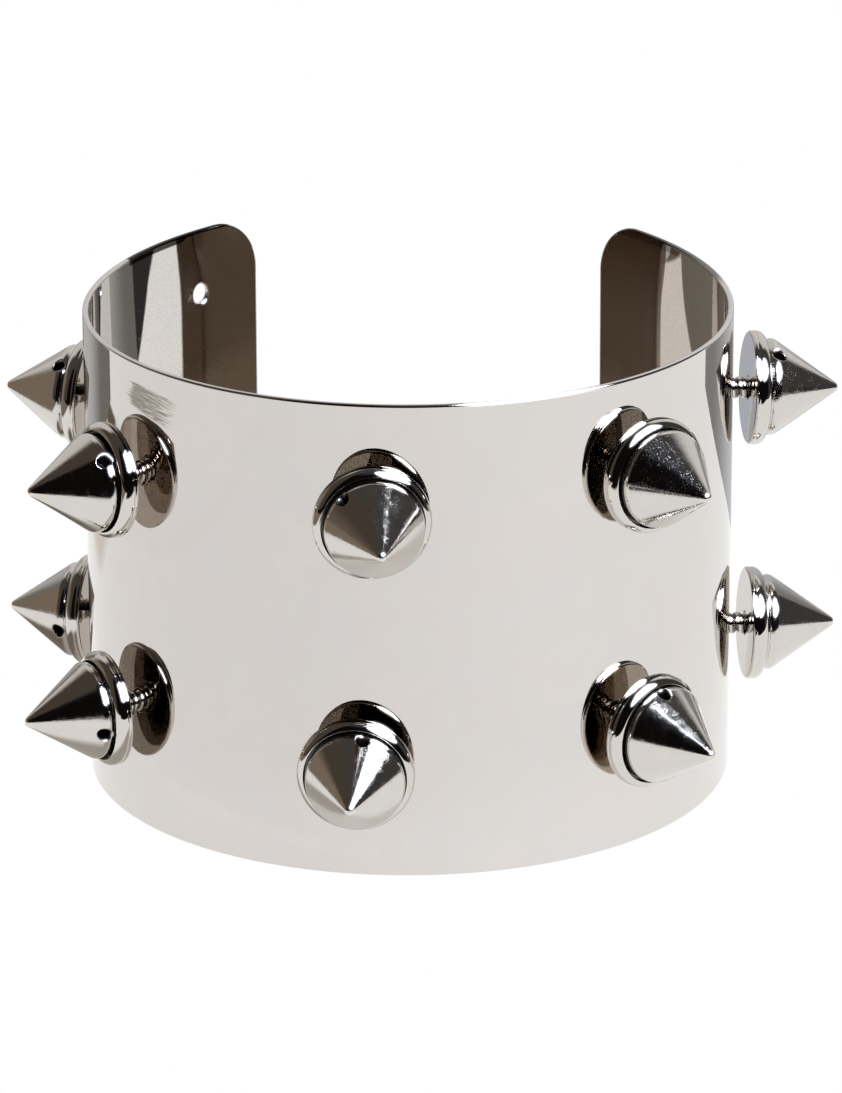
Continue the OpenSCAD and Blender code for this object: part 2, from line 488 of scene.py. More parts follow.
# The rubbed patch: fine strokes that fall a little to the right, dense at the left, between
# four edges. Each edge is its weights along and up, its share of the fray and its step.
PATCH_EDGES = [
    (1.0, -0.375, 1.0, -44.2, -43.4),
    (-1.0, 0.536, 1.0, 43.7, 45.2),
    (-0.088, -1.0, 0.08, -43.4, -43.1),
    (0.19, 1.0, 0.08, 37.85, 38.3),
]
fray = times(sums("SUBTRACT", noise(own, 1.0, 1, (0.12, 6.0, 1.0)), 0.5), 3.6)
patch = ramp(depth, -0.3, -0.2)
for a, b, frayed, low, high in PATCH_EDGES:
    value = add_up(slanted(along, a, height, b), (fray, frayed))
    patch = times(patch, ramp(value, low, high))
spun = node(tree_of(own), "ShaderNodeVectorRotate", "fall of the strokes", rotation_type="Z_AXIS")
feed(spun.inputs["Vector"], own)
spun.inputs["Angle"].default_value = radians(4)
strokes = noise(spun.outputs[0], 1.0, 3, (0.5, 10.0, 1.0))
strokes = sums("ADD", strokes, ramp(along, -27.0, -20.0, 0.15, -0.02))
patch = times(patch, ramp(strokes, 0.42, 0.58))

# Short rub marks on the inside, close beside the small hole
rubs = noise(own, 1.0, 1, (5.5, 2.5, 1.0))
beside = times(
    between(along, -73.3, -73.0, -72.6, -71.2),
    between(height, 39.2, 40.2, 41.4, 42.4),
    ramp(rubs, 0.54, 0.60),
    inner,
)

# Painted light and shade on the outside: warmer on the left, brighter on the right and near the
# bottom
PAINTED_WARMER = (0.985, 0.975, 0.975)
PAINTED_BRIGHTER = (1.075, 1.082, 1.085)
painted_light_tone = blend(ramp(along, -10.0, 20.0), PAINTED_WARMER, PAINTED_BRIGHTER)
painted_light_tone = blend(ramp(height, 14.0, 2.0), painted_light_tone, (1.04, 1.045, 1.05), "MULTIPLY")
shade = blend(outer, shade, painted_light_tone, "MULTIPLY")
# Painted shade, brownish, on the inside towards the right end, darkest in the line where it
# begins
right_shade_start = sums("ADD", along, ramp(height, 40.0, 47.0, 0.0, 0.85))
painted_right_shade = ramp(right_shade_start, 76.7, 77.0)
painted_right_shade = times(painted_right_shade, ramp(height, 36.0, 47.0, 0.35, 1.0), inner)
shade = blend(painted_right_shade, shade, (0.52, 0.42, 0.33), "MULTIPLY")
painted_shade_line = times(between(right_shade_start, 76.70, 76.90, 77.2, 78.8), inner)
shade = blend(painted_shade_line, shade, (0.42, 0.37, 0.32), "MULTIPLY")
# Sandy unevenness, mostly inside, then the patch, the rims and the hairlines
sandy = times(sums("SUBTRACT", noise(own, 6.0, 1), 0.5), add_up(0.05, (inner, 0.3)))
shade = blend(1.0, shade, sums("ADD", 1.0, sandy), "MULTIPLY")
# The rubbed patch is real wear; its dark strokes are painted shade for the dim light they
# scatter.
shade = blend(times(patch, 0.93), shade, (0.23, 0.20, 0.165))
shade = blend(times(in_rim, 0.5), shade, (0.72, 0.72, 0.75))
shade = blend(times(lines, 0.10), shade, (0.55, 0.52, 0.49))

# Painted shade along the top edge of the wings, thick on the left and thin on the right. Each
# strip is its height, its amount, its lower edge, where it begins along the sheet and where it
# begins in the sheet's thickness.
past_end = sums("SUBTRACT", -72.0, along)
thinner = sums("SUBTRACT", height, ramp(past_end, -1.0, 0.5, 0.0, 0.4))
painted_dark_edges = 0.0
for strip_height, amount, low, high, start, end, shallow, deep in (
    (thinner, 0.97, 46.80, 46.95, -61.4, -61.9, -0.02, -0.08),
    (height, 0.50, 46.60, 46.75, 72.5, 73.5, -0.14, -0.20),
    (height, 0.72, 47.20, 47.32, 60.0, 64.0, -0.18, -0.24),
):
    strip = times(ramp(strip_height, low, high), ramp(along, start, end, 0.0, amount))
    painted_dark_edges = sums("MAXIMUM", painted_dark_edges, times(strip, ramp(depth, shallow, deep)))
shade = blend(painted_dark_edges, shade, (0.03, 0.027, 0.024))

ends = sums("MAXIMUM", ramp(along, 76.6, 77.4), ramp(along, -72.5, -76.0))
ends = times(ends, inner)
rough = add_up(0.012, (haze, 0.02), (in_rim, 0.12), (patch, 0.15), (beside, 0.2), (ends, 0.09))
soft = noise(own, 0.35, 1)
marks = sums("MAXIMUM", lines, times(beside, 0.8))
put_on([cuff], sheet_metal, shade, rough, (grains, 0.0003), (soft, 0.0008), (marks, 0.0010))


# Screws
# Each stud is held by a steel screw from the inside: a plain flat head against the sheet
# and a post with a rolled, rounded thread that passes loosely through the hole, through
# the cup and into the spike. A few posts stand a little crooked.
HEAD_R = 3.0
HEAD_T = 0.8
HEAD_DEPTH = 0.803
HEAD_EDGE_R = 0.2
SHANK_R = 1.1
SHANK_TOP = 4.6
NECK = 0.35
NECK_FLARE = 0.16
TIP = 0.45
TIP_TAPER = 0.35
THREAD_DEPTH = 0.38
THREAD_PITCH = 1.02
THREAD_STEPS = 14
CREST_R = 0.53
STAND_OFF = 1.7
SCREW_TURNS = 64
UP = Vector((0, 0, 1))


def on_sheet(along, height):
    """The frame on the outside of the sheet: X right, Y up, Z straight out."""
    place, across, out = bent(along, height)
    turn = Matrix((across, (0, 0, 1), out)).transposed()
    return Matrix.Translation(place) @ turn.to_4x4()


def lean(right, up):
    """How a stud's own axis turns away from straight out of the sheet."""
    return Matrix.Rotation(radians(right), 4, "Y") @ Matrix.Rotation(radians(-up), 4, "X")


def turned_ring(points, normals, turns, r, z, nr, nz, tilt=Matrix.Identity(3)):
    """Adds a ring round a piece's axis, from its radius, height and the normal's two parts."""
    ring = next_ring(points, turns)
    for k in range(turns):
        a = 2 * pi * k / turns
        points.append(tilt @ Vector((r * cos(a), r * sin(a), z)))
        normals.append(tilt @ Vector((nr * cos(a), nr * sin(a), nz)))
    return ring


def fan(points, normals, ring, centre, normal):
    """Adds a point and gives the triangles that close a ring with it."""
    points.append(centre)
    normals.append(normal)
    return [(ring[k - 1], ring[k], len(points) - 1) for k in range(len(ring))]


def arc(centre_r, centre_z, radius, start, end, steps, way=1):
    """Points of a turned outline on an arc, as radius, height and the normal's two parts."""
    points = []
    for k in range(steps + 1):
        a = radians(start + (end - start) * k / steps)
        place = (centre_r + radius * cos(a), centre_z + radius * sin(a))
        points.append((*place, way * cos(a), way * sin(a)))
    return points


def screw_piece(name, place, right, up):
    """One screw in the sheet's frame at its place, its post leaning the given way."""
    tilt = lean(right, up).to_3x3()
    points, normals = [], []
    edge_r, low_edge = HEAD_R - HEAD_EDGE_R, HEAD_EDGE_R - HEAD_DEPTH - HEAD_T
    head = arc(edge_r, low_edge, HEAD_EDGE_R, -90, 0, 6)
    head += arc(edge_r, -HEAD_DEPTH - HEAD_EDGE_R, HEAD_EDGE_R, 0, 90, 6)
    head.append((SHANK_R + NECK_FLARE, -HEAD_DEPTH, 0, 1))
    rings = [turned_ring(points, normals, SCREW_TURNS, *spot) for spot in head]

    start, end = NECK - STAND_OFF - HEAD_DEPTH, SHANK_TOP - TIP
    steps = round((end - start) / THREAD_PITCH * THREAD_STEPS)
    for step in range(steps + 1):
        rings.append(next_ring(points, SCREW_TURNS))
        h = start + (end - start) * step / steps
        for k in range(SCREW_TURNS):
            a = 2 * pi * k / SCREW_TURNS
            way = Vector((cos(a), sin(a), 0))
            past_crest = ((h / THREAD_PITCH - k / SCREW_TURNS + 0.5) % 1 - 0.5) * THREAD_PITCH
            fall = sqrt(CREST_R ** 2 - past_crest ** 2)
            points.append(tilt @ (way * (SHANK_R - CREST_R + fall) + UP * (h + STAND_OFF)))
            normals.append(tilt @ (way + UP * past_crest / fall))
    top = STAND_OFF + end
    for slope in range(15, 91, 15):
        a = radians(slope)
        spot = (1 - TIP_TAPER * (1 - cos(a))) * (SHANK_R - THREAD_DEPTH), top + TIP * sin(a)
        rings.append(turned_ring(points, normals, SCREW_TURNS, *spot, cos(a), sin(a), tilt))
    faces = ring_strip(rings[::-1])
    for ring, way in ((rings[0][::-1], -UP), (rings[-1], tilt @ UP)):
        middle = sum((points[k] for k in ring), Vector()) / len(ring)
        faces += fan(points, normals, ring, middle, way)
    return smooth_piece(name, points, normals, faces, None, place)


screws = []
for name, along, height, right, up, _, _ in STUDS:
    screw = screw_piece("post_" + name, on_sheet(along, height), right, up)
    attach(screw, "root")
    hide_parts("screw_" + name)
    screws.append(screw)

# The screws' metal: polished crests, painted shade in the thread roots, a plain head
screw_metal, own, (x, y, z), shade, haze, lines, grains = metal(
    "screw_metal", (0.665, 0.64, 0.61), 0.3, 2.0, 0.35, 5.0
)
painted_root_shade = ramp(distance(x, y), SHANK_R - THREAD_DEPTH, SHANK_R - 0.12, 1.0, 0.0)
painted_root_shade = times(painted_root_shade, ramp(z, -0.7, -0.6))
shade = blend(times(painted_root_shade, 0.75), shade, (0.09, 0.075, 0.06))
rough = add_up(0.035, (painted_root_shade, 0.2), (lines, 0.05))
put_on(screws, screw_metal, shade, rough, (grains, 0.0004), (lines, 0.0006))


# Cups
# Each spike sits in a round cup, pressed from brass strip and nickel plated. Its rolled
# rim is a narrow bead next to the flat underside and a wider bead above it, and its
# thin lip stands a hair away from the foot of the spike.
CUP_TURNS = 144
LOW_BEAD = (5.36, 0.29, 0.29)
HIGH_BEAD = (4.64, 0.66, 1.02)
LIP = (5.0, 1.59, 0.05)
DISH_R = 4.95
DISH_FLOOR = 0.85
DISH_CORNER_R = 0.12
CUP_BORE_R = 1.22
BORE_EDGE_R = 0.08

bore_side = CUP_BORE_R + BORE_EDGE_R
dish_corner = (DISH_R - DISH_CORNER_R, DISH_FLOOR + DISH_CORNER_R, DISH_CORNER_R)
cup_outline = arc(bore_side, BORE_EDGE_R, BORE_EDGE_R, 180, 270, 4)
cup_outline += arc(*LOW_BEAD, -90, 22, 14)
cup_outline += arc(*HIGH_BEAD, -10, 64, 24)
cup_outline += arc(*LIP, 75, 180, 6)
cup_outline += arc(*dish_corner, 0, -90, 4, -1)
cup_outline += arc(bore_side, DISH_FLOOR - BORE_EDGE_R, BORE_EDGE_R, 90, 180, 4)
cup_points, cup_normals = [], []
rings = [turned_ring(cup_points, cup_normals, CUP_TURNS, *spot) for spot in cup_outline]
cup_faces = ring_strip((rings + rings[:1])[::-1])
cups = []
for name, along, height, right, up, _, _ in STUDS:
    place = on_sheet(along, height) @ lean(right, up) @ Matrix.Translation((0, 0, STAND_OFF))
    cup = smooth_piece("dish_" + name, cup_points, cup_normals, cup_faces, None, place)
    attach(cup, "root")
    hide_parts("cup_" + name)
    cups.append(cup)


def standing(own):
    """Where a point of the bracelet is, in metres: across, back and up."""
    return parts_of(node(tree_of(own), "ShaderNodeTexCoord", "place").outputs["Object"])


# The cups' metal: bright plating, fine rub marks on the beads and painted shade in the groove
# behind the lip
NICKEL = (0.67, 0.64, 0.605)
cup_metal, own, (x, y, z), shade, haze, lines, grains = metal(
    "cup_metal", NICKEL, 0.35, 1.6, 0.45, 4.0
)
painted_groove_shade = ramp(distance(x, y), DISH_R - 0.02, DISH_R + 0.015, 1.0, 0.0)
painted_groove_shade = times(painted_groove_shade, ramp(z, 0.7, 0.8))
worn = ramp(z, 1.55, 1.63)
shade = blend(times(worn, 0.6), shade, (0.74, 0.72, 0.69))
shade = blend(times(painted_groove_shade, 0.85), shade, (0.05, 0.04, 0.032))
# Painted shade on the flat undersides, each row and column of cups in its own degree
UNDERSIDE_SHADE_UPPER = ((0.95, 0.91, 0.86), (0.50, 0.46, 0.41), (0.41, 0.37, 0.33))
UNDERSIDE_SHADE_LOWER = ((0.48, 0.44, 0.39), (0.30, 0.27, 0.23), (0.84, 0.79, 0.73))
UNDERSIDE_SHADE_FAR = (0.70, 0.66, 0.62)
across, _, up = standing(own)
past_left, at_right = ramp(across, -0.018, -0.010), ramp(across, 0.009, 0.016)
upper, lower = (
    blend(at_right, blend(past_left, left, middle), right)
    for left, middle, right in (UNDERSIDE_SHADE_UPPER, UNDERSIDE_SHADE_LOWER)
)
painted_underside_shade = blend(ramp(up, 0.020, 0.026, 1.0, 0.0), upper, lower)
painted_underside_shade = blend(ramp(sums("ABSOLUTE", across), 0.0305, 0.0312), painted_underside_shade, UNDERSIDE_SHADE_FAR)
shade = blend(ramp(z, 0.01, 0.05, 1.0, 0.0), shade, painted_underside_shade, "MULTIPLY")
rough = add_up(0.015, (haze, 0.02), (painted_groove_shade, 0.3), (lines, 0.035))
put_on(cups, cup_metal, shade, rough, (grains, 0.0003), (lines, 0.0005))


# Spikes
# Turned cones with a short straight foot, a softly rounded shoulder and a blunted point.
# Each has one small cross hole near the foot, with a well worn mouth, in which a pin
# turns the spike on its screw.
SPIKE_TURNS = 144
SPIKE_R = 4.79
FOOT_R = 4.706
FOOT_H = 0.91
FOOT_EDGE_R = 0.1
SHOULDER_R = 0.9
SHOULDER_H = 2.231
SHOULDER_START = 25
HALF_ANGLE = 34.5
POINT_R = 0.58
SPIKE_TOP = 9.05
APEX_H = 9.4945
SPIKE_BORE_R = 1.32
SPIKE_BORE_TOP = 4.72
SPIKE_BORE_EDGE = 0.1
SPIKE_SHIFT = 0.1
PIN_HOLE_H = 2.6
PIN_MOUTH_R = 0.8
PIN_BORE_R = 0.54
PIN_BOTTOM = 3.14
PIN_CORNER = 0.05
PIN_STEPS = 48
MOUTH_DEPTH = 0.45
MOUTH_RUN_IN = 0.18
MOUTH_RUN_OUT = 0.22
CLEAR_OF_MOUTH = 0.12
MOUTH_STEPS = 8


def side_of_spike(h):
    """Radius and normal of the spike's outside at a height."""
    slope = radians(HALF_ANGLE)
    shoulder_top = SHOULDER_H + SHOULDER_R * sin(slope)
    point_low = SPIKE_TOP - POINT_R + POINT_R * sin(slope)
    if h <= FOOT_H + FOOT_EDGE_R:
        a = asin(max(-1, min(1, (h - FOOT_H - FOOT_EDGE_R) / FOOT_EDGE_R)))
        return FOOT_R - FOOT_EDGE_R * (1 - cos(a)), cos(a), sin(a)
    if h < SHOULDER_H - SHOULDER_R * sin(radians(SHOULDER_START)):
        return FOOT_R, 1.0, 0.0
    if h <= shoulder_top:
        a = asin((h - SHOULDER_H) / SHOULDER_R)
        return SPIKE_R - SHOULDER_R * (1 - cos(a)), cos(a), sin(a)
    if h <= point_low:
        return (APEX_H - h) * tan(slope), cos(slope), sin(slope)
    a = asin(min(1, (h - SPIKE_TOP + POINT_R) / POINT_R))
    return POINT_R * cos(a), cos(a), sin(a)


def surface_of_spike(turn, h):
    """Place and normal on the spike's outside at a turn and a height."""
    r, nr, nz = side_of_spike(h)
    return Vector((r * cos(turn), r * sin(turn), h)), Vector((nr * cos(turn), nr * sin(turn), nz))


# Heights of the rings, from the foot's rounded edge to the point
foot_slopes = [radians(22.5 * k) for k in range(5)]
shoulder_slopes = [radians(-SHOULDER_START + 59.5 * k / 12) for k in range(13)]
heights = [FOOT_H + FOOT_EDGE_R - FOOT_EDGE_R * cos(a) for a in foot_slopes]
heights += [1.25, 1.5, 1.7]
heights += [SHOULDER_H + SHOULDER_R * sin(a) for a in shoulder_slopes]
heights += [heights[-1] + 0.22 * k for k in range(1, 28)]
point_slopes = [radians(a) for a in (HALF_ANGLE, 42, 50, 58, 66, 74, 82)]
heights += [SPIKE_TOP - POINT_R + POINT_R * sin(a) for a in point_slopes]

# The window in that grid, in rings and steps round, where the cross hole goes in
WINDOW_LOW = heights.index(1.5)
WINDOW_HIGH = WINDOW_LOW + 19
WINDOW_SIDE = 10
points, normals, faces = [], [], []
grid = {}
for j, h in enumerate(heights):
    for k in range(SPIKE_TURNS):
        in_sides = k < WINDOW_SIDE or k > SPIKE_TURNS - WINDOW_SIDE
        if not (WINDOW_LOW < j < WINDOW_HIGH and in_sides):
            place, normal = surface_of_spike(2 * pi * k / SPIKE_TURNS, h)
            grid[j, k] = len(points)
            points.append(place)
            normals.append(normal)
for j in range(len(heights) - 1):
    for k in range(SPIKE_TURNS):
        n = (k + 1) % SPIKE_TURNS
        in_sides = k < WINDOW_SIDE or k >= SPIKE_TURNS - WINDOW_SIDE
        if not (WINDOW_LOW <= j < WINDOW_HIGH and in_sides):
            faces.append((grid[j, k], grid[j, n], grid[j + 1, n], grid[j + 1, k]))

# The patch round the mouth of the cross hole, laid flat at the radius of the hole's height
PATCH_R = 4.0
patch, patch_index = [], []


def patch_point(k, h):
    """Flat coordinates of a place on the spike near the cross hole, in millimetres."""
    return Vector((k * 2 * pi / SPIKE_TURNS * PATCH_R, h))


frame_keys = [(WINDOW_LOW, k) for k in range(-WINDOW_SIDE, WINDOW_SIDE)]
frame_keys += [(j, WINDOW_SIDE) for j in range(WINDOW_LOW, WINDOW_HIGH)]
frame_keys += [(WINDOW_HIGH, k) for k in range(WINDOW_SIDE, -WINDOW_SIDE, -1)]
frame_keys += [(j, -WINDOW_SIDE) for j in range(WINDOW_HIGH, WINDOW_LOW, -1)]
for j, k in frame_keys:
    patch.append(patch_point(k, heights[j]))
    patch_index.append(grid[j, k % SPIKE_TURNS])
patch_edges = [(n, (n + 1) % len(frame_keys)) for n in range(len(frame_keys))]
mouth = []
first = len(patch)
for step in range(PIN_STEPS):
    a = 2 * pi * step / PIN_STEPS
    h = PIN_HOLE_H + PIN_MOUTH_R * sin(a)
    turn = asin(PIN_MOUTH_R * cos(a) / side_of_spike(h)[0])
    place, normal = surface_of_spike(turn, h)
    mouth.append((a, place, normal))
    patch.append(patch_point(turn * SPIKE_TURNS / (2 * pi), h))
    patch_index.append(len(points))
    points.append(place)
    normals.append(normal)
patch_edges += [(first + n, first + (n + 1) % PIN_STEPS) for n in range(PIN_STEPS)]
for j in range(WINDOW_LOW + 1, WINDOW_HIGH):
    for k in range(-WINDOW_SIDE + 1, WINDOW_SIDE):
        place, normal = surface_of_spike(2 * pi * k / SPIKE_TURNS, heights[j])
        if hypot(place.y, place.z - PIN_HOLE_H) > PIN_MOUTH_R + CLEAR_OF_MOUTH:
            patch.append(patch_point(k, heights[j]))
            patch_index.append(len(points))
            points.append(place)
            normals.append(normal)
spots, _, triangles, _, _, _ = delaunay_2d_cdt(patch, patch_edges, [], 1, 1e-7)
for tri in triangles:
    if not all(first <= k < first + PIN_STEPS for k in tri):
        faces.append(tuple(patch_index[k] for k in tri))

# The cross hole: a worn mouth that curves in from the side, a straight bore, a flat bottom
pin_rings = [[patch_index[first + k] for k in range(PIN_STEPS)]]
for step in range(1, MOUTH_STEPS + 1):
    s = step / MOUTH_STEPS
    pin_rings.append(next_ring(points, PIN_STEPS))
    for a, place, normal in mouth:
        inward = Vector((0, -cos(a), -sin(a)))
        along_surface = (inward - normal * inward.dot(normal)).normalized()
        end_y, end_z = PIN_BORE_R * cos(a), PIN_HOLE_H + PIN_BORE_R * sin(a)
        end = Vector((place.x - MOUTH_DEPTH, end_y, end_z))
        p1 = place + along_surface * MOUTH_RUN_IN
        p2 = end + Vector((MOUTH_RUN_OUT, 0, 0))
        spot = place * (1 - s) ** 3 + p1 * 3 * s * (1 - s) ** 2
        spot += p2 * 3 * s * s * (1 - s) + end * s ** 3
        run = (p1 - place) * (1 - s) ** 2 + (p2 - p1) * 2 * s * (1 - s) + (end - p2) * s * s
        facing = Vector((0, -sin(a), cos(a))).cross(run)
        points.append(spot)
        normals.append(facing if facing.dot(normal + inward) > 0 else -facing)
for x, flat_end in ((PIN_BOTTOM + PIN_CORNER, False), (PIN_BOTTOM, True)):
    pin_rings.append(next_ring(points, PIN_STEPS))
    r = PIN_BORE_R - (PIN_CORNER if flat_end else 0)
    for a, place, normal in mouth:
        points.append(Vector((x, r * cos(a), PIN_HOLE_H + r * sin(a))))
        normals.append(Vector((1, 0, 0)) if flat_end else Vector((0, -cos(a), -sin(a))))
faces += ring_strip([ring[::-1] for ring in pin_rings])
bottom = Vector((PIN_BOTTOM, 0, PIN_HOLE_H))
faces += fan(points, normals, pin_rings[-1], bottom, Vector((1, 0, 0)))

# The blunted point and the foot with the threaded bore
top_ring = [grid[len(heights) - 1, k] for k in range(SPIKE_TURNS)]
faces += fan(points, normals, top_ring, UP * SPIKE_TOP, UP)
lower = [[grid[0, k] for k in range(SPIKE_TURNS)]]
bore_outline = [
    (SPIKE_BORE_R + SPIKE_BORE_EDGE, FOOT_H, 0, -1),
    (SPIKE_BORE_R, FOOT_H + SPIKE_BORE_EDGE, -1, 0),
    (SPIKE_BORE_R, SPIKE_BORE_TOP - SPIKE_BORE_EDGE, -1, 0),
    (SPIKE_BORE_R - SPIKE_BORE_EDGE, SPIKE_BORE_TOP, 0, -1),
]
lower += [turned_ring(points, normals, SPIKE_TURNS, *spot) for spot in bore_outline]
faces += ring_strip(lower)
faces += fan(points, normals, lower[-1][::-1], UP * SPIKE_BORE_TOP, -UP)

spikes = []
for name, along, height, right, up, hole_turn, shift_turn in STUDS:
    side = radians(shift_turn)
    off = Matrix.Translation((SPIKE_SHIFT * cos(side), SPIKE_SHIFT * sin(side), STAND_OFF))
    spin = Matrix.Rotation(radians(hole_turn), 4, "Z")
    place = on_sheet(along, height) @ lean(right, up) @ off @ spin
    spike = smooth_piece("cone_" + name, points, normals, faces, None, place)
    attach(spike, "root")
    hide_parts("spike_" + name)
    spikes.append(spike)

# The spikes' metal: bright plating with many fine rub marks, a point worn smooth and painted
# shade in the cross hole and under the foot
spike_metal, own, (x, y, z), shade, haze, lines, grains = metal(
    "spike_metal", NICKEL, 0.35, 2.4, 0.75, 5.0
)
from_hole = distance(sums("SUBTRACT", z, PIN_HOLE_H), y)
below_apex = sums("SUBTRACT", APEX_H, z)
cone_r = sums("MINIMUM", times(below_apex, tan(radians(HALF_ANGLE))), SPIKE_R)
sunk = sums("SUBTRACT", cone_r, distance(x, y))
in_hole = times(ramp(sunk, 0.01, 0.07), ramp(x, 0.0, 0.1))
in_hole = times(in_hole, ramp(from_hole, 0.55, 0.75, 1.0, 0.0))
painted_recess_shade = sums("MAXIMUM", in_hole, ramp(z, 1.55, 1.75, 1.0, 0.0))
worn = ramp(z, SPIKE_TOP - 0.7, SPIKE_TOP - 0.2)
shade = blend(times(worn, 0.6), shade, (0.75, 0.73, 0.70))
shade = blend(times(painted_recess_shade, 0.93), shade, (0.02, 0.016, 0.013))
# Tiny marks that catch the light near the highlights: speckles and pricks on all spikes,
# and sparks that grow towards the right and in the upper row
speckle = ramp(noise(own, 5.5, 2), 0.52, 0.66)
pricks = times(ramp(noise(own, 8.0, 2), 0.48, 0.80), ramp(noise(own, 1.3, 2), 0.36, 0.60))
across, _, up = standing(own)
sparks = times(
    ramp(noise(own, 9.0, 1), 0.56, 0.66),
    ramp(noise(own, 0.9, 1), 0.36, 0.56),
    ramp(across, -0.018, 0.020, 0.02, 0.20),
    ramp(up, 0.020, 0.026, 0.5, 1.0),
)
rough = add_up(0.015, (haze, 0.015), (painted_recess_shade, 0.3), (worn, 0.03), (speckle, 0.075))
rough = add_up(rough, (sparks, 1.0), (lines, 0.05))
put_on(spikes, spike_metal, shade, rough, (grains, 0.0004), (lines, 0.0008), (pricks, 0.0042))


# Studio
# The cuff stands on a white table. One soft box stands to the right in front and above, a
# white sweep closes the back, and the room on the left and behind the camera is dark. The
# camera sees plain white round the cuff.


def zone_mask(x, y, edges):
    """One on the inner side of all edges. Each edge is two weights of x and y, the sum at
    which the zone begins and the softness of the step."""
    mask = 1.0
    for a, b, begin, soft in edges:
        value = slanted(x, a, y, b)
        mask = times(mask, ramp(value, begin - soft / 2, begin + soft / 2))
    return mask


def round_mask(x, y, middle, size, soft):
    """One inside an ellipse with a soft edge."""
    parts = []
    for value, centre, half in ((x, middle[0], size[0]), (y, middle[1], size[1])):
        parts.append(sums("DIVIDE", sums("SUBTRACT", value, centre), half))
    return ramp(distance(*parts), 1 - soft / 2, 1 + soft / 2, 1.0, 0.0)


def zoned(x, y, ground, zones):
    """A ground colour with zones over it, each a colour and its edges."""
    for shade, edges in zones:
        ground = blend(zone_mask(x, y, edges), ground, shade)
    return ground


def unlike_camera(tree, for_camera, for_rest):
    """Puts out one shader to the camera and another to all other rays."""
    rays = node(tree, "ShaderNodeLightPath", "rays")
    either = node(tree, "ShaderNodeMixShader", "either")
    feed(either.inputs[0], rays.outputs["Is Camera Ray"])
    feed(either.inputs[1], for_rest.outputs[0])
    feed(either.inputs[2], for_camera.outputs[0])
    return either


# Zones of the room in degrees: turn from the camera's side to the right, and height
ROOM = (0.005, 0.004, 0.004)
SKY_ZONES = [
    ((0.075, 0.060, 0.048), [(1, 0, -135, 40), (-1, 0, 42, 10)]),
    ((0.24, 0.19, 0.145), [(1, 0, -140, 22), (-1, 0, 84, 22), (0, -1, -24, 18)]),
    ((0.068, 0.060, 0.055), [(0, 1, 66, 14)]),
    ((0.055, 0.052, 0.05), [(1, 0, 82, 20), (-1, 0, -150, 20), (0, -1, -75, 20)]),
    ((0.72, 0.70, 0.68), [(-1, 0, 122, 20), (0, -1, -60, 16)]),
    ((0.80, 0.79, 0.78), [(1, 0, 136, 16), (0, -1, -62, 16)]),
    ((0.040, 0.045, 0.060), [(1, 0, 0, 30), (-1, 0, -85, 30), (0, 1, 50, 20), (0, -1, -78, 20)]),
    ((15.0, 16.0, 18.0), [(1, 0, 31, 4), (-1, 0, -88, 4), (0, 1, 29, 4), (0, -1, -63, 4)]),
]
DEGREES = 180 / pi
world = bpy.data.worlds.new("studio")
scene.world = world
world.use_nodes = True
tree = world.node_tree
tree.nodes.clear()
way = node(tree, "ShaderNodeTexCoord", "way")
x, y, z = parts_of(way.outputs["Generated"])
turn = times(sums("ARCTAN2", x, times(y, -1.0)), DEGREES)
rise = times(sums("ARCSINE", z), DEGREES)
seen = node(tree, "ShaderNodeBackground", "seen by the camera")
seen.inputs["Color"].default_value = (1, 1, 1, 1)
room = node(tree, "ShaderNodeBackground", "seen by the metal")
feed(room.inputs["Color"], zoned(turn, rise, ROOM, SKY_ZONES))
out = node(tree, "ShaderNodeOutputWorld", "out")
feed(out.inputs["Surface"], unlike_camera(tree, seen, room).outputs[0])

# Zones of the table in metres. The floor inside the cuff lies in its shade. The studs see
# the table's edges, the sheet's inside sees the darker things that stand behind the table.
WHITE = (1.0, 1.0, 1.0)
BROWN = (0.24, 0.19, 0.145)
BLACK = (0.006, 0.005, 0.005)
NEARLY_BLACK = (0.035, 0.034, 0.033)
SHADE_IN_CUFF = (0.215, 0.165, 0.12)
STUD_ZONES = [
    ((0.56, 0.60, 0.68), [(0, 1, 0.088, 0.004)]),
    ((0.24, 0.215, 0.19), [(0, 1, 0.088, 0.004), (1, 0, 0.05, 0.02)]),
    (BROWN, [(-1, 0, 0.105, 0.012)]),
    ((0.04, 0.038, 0.036), [(1, 0, 0.215, 0.015)]),
    (BLACK, [(1, 0, -0.065, 0.03), (0, -1, 0.125, 0.03)]),
    (BLACK, [(0, -1, 0.215, 0.03)]),
]
PAST_TABLE = (-0.27, 1, 0.0722, 0.002)
LEFT_OF_RIGHT = (-1, 0, -0.124, 0.002)
PAST_LEFT = (1, 0, -0.132, 0.002)
SHEET_ZONES = [
    ((0.80, 0.75, 0.69), [(-1, 0, 0.072, 0.01), (0, 1, 0.033, 0.01), (1, 0, -0.132, 0.004)]),
    ((0.182, 0.162, 0.133), [(-1, 0, 0.045, 0.004), (-0.286, 1, 0.0998, 0.003), PAST_LEFT]),
    ((0.15, 0.125, 0.10), [(-1, 0, 0.1235, 0.002), (0, 1, 0.04, 0.004), PAST_LEFT]),
    ((0.72, 0.71, 0.67), [(1, -0.42, -0.045, 0.003), PAST_TABLE, LEFT_OF_RIGHT]),
    ((0.40, 0.40, 0.39), [(1, -0.42, -0.0165, 0.003), PAST_TABLE, LEFT_OF_RIGHT]),
    ((0.18, 0.172, 0.164), [(1, -0.62, -0.027, 0.040), PAST_TABLE, LEFT_OF_RIGHT]),
    (NEARLY_BLACK, [(1, -0.836, -0.01815, 0.003), (-0.27, 1, 0.0722, 0.003), LEFT_OF_RIGHT]),
    (NEARLY_BLACK, [(1, 0, 0.088, 0.006), (0, 1, 0.0962, 0.003), LEFT_OF_RIGHT]),
]
lights = ("For all", "More for the sheet", "More for the studs")
